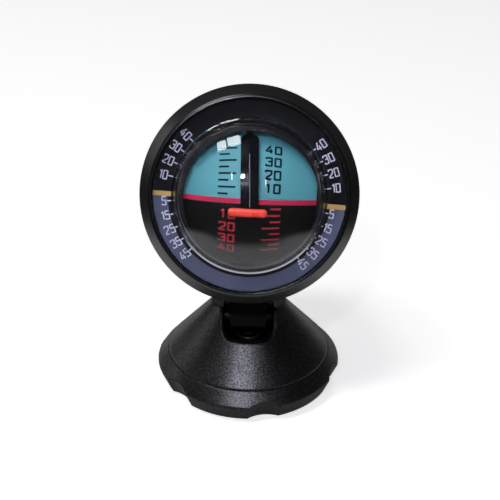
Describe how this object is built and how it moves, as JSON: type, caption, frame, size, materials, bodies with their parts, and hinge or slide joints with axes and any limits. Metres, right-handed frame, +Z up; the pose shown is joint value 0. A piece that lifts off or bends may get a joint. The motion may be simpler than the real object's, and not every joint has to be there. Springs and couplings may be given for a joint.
{
  "type": "inclinometer",
  "caption": "Dashboard slope meter: a round tilting head on a cone-shaped swivel base, with a weighted roll ring around a weighted pitch drum under a clear dome.",
  "frame": {"origin": "centre of the underside of the round adhesive pad, on the swivel axis", "axes": "+Z up along the swivel axis, the dial faces -Y, +X to the right as the dial is read"},
  "size_m": [0.076, 0.0801, 0.1138],
  "materials": {
    "pad_foam": "matte",
    "base_plastic": "fine texture",
    "turret_plastic": "fine texture",
    "neck_plastic": "satin",
    "housing_plastic": "satin",
    "bezel_plastic": "satin",
    "lens_clear": "clear",
    "seal_rubber": "matte",
    "frame_plastic": "gloss",
    "arm_plastic": "gloss",
    "pointer_red": "gloss",
    "drum_teal": "satin",
    "drum_black": "satin",
    "horizon_crimson": "satin",
    "inner_plastic": "matte",
    "dial_black": "satin",
    "dial_slate": "satin",
    "mark_gold": "satin",
    "brass": "plain",
    "steel": "plain",
    "black_steel": "black oxide",
    "washer_nylon": "matte"
  },
  "bodies": {
    "base": {"adhesive_pad": "pad_foam", "base_plate": "base_plastic", "base_ring": "base_plastic", "base_screws": "black_steel", "swivel_screw": "black_steel", "spring_washer": "black_steel"},
    "turret": {"turret_shell": "turret_plastic", "hinge_yoke": "steel", "yoke_screws": "black_steel", "hinge_pin": "black_steel", "hinge_nut": "black_steel", "friction_washers": "washer_nylon", "swivel_washer": "washer_nylon"},
    "head": {"neck_bracket": "neck_plastic", "neck_screws": "black_steel", "rear_housing": "housing_plastic", "front_bezel": "bezel_plastic", "lens": "lens_clear", "lens_seal": "seal_rubber", "drum_frame": "frame_plastic", "drum_axle": "steel", "pointer_arm": "arm_plastic", "pointer": "pointer_red", "dial_spindle": "steel", "spindle_clip": "steel"},
    "roll_dial": {"dial_cup": "inner_plastic", "dial_face_upper": "dial_black", "dial_face_lower": "dial_slate", "dial_index_marks": "mark_gold", "dial_weight": "steel", "dial_weight_screws": "steel", "dial_bush": "brass", "spindle_washer": "washer_nylon"},
    "pitch_drum": {"drum_upper_shell": "drum_teal", "drum_lower_shell": "drum_black", "horizon_band": "horizon_crimson", "drum_end_caps": "inner_plastic", "drum_weight": "steel", "drum_weight_screws": "steel", "drum_bushes": "brass"}
  },
  "joints": [
    {"name": "base_swivel", "type": "hinge", "parent": "base", "child": "turret", "pos_m": [0, 0, 0.0122], "axis": [0, 0, 1], "continuous": true},
    {"name": "head_tilt", "type": "hinge", "parent": "turret", "child": "head", "pos_m": [0, -0.002, 0.0255], "axis": [1, 0, 0], "range_deg": [-30, 40]},
    {"name": "dial_roll", "type": "hinge", "parent": "head", "child": "roll_dial", "pos_m": [0, 0.00706, 0.07261], "axis": [0, -0.9397, 0.342], "continuous": true},
    {"name": "drum_pitch", "type": "hinge", "parent": "head", "child": "pitch_drum", "pos_m": [0, 0.00706, 0.07261], "axis": [0.9991, -0.0143, -0.0394], "continuous": true}
  ]
}
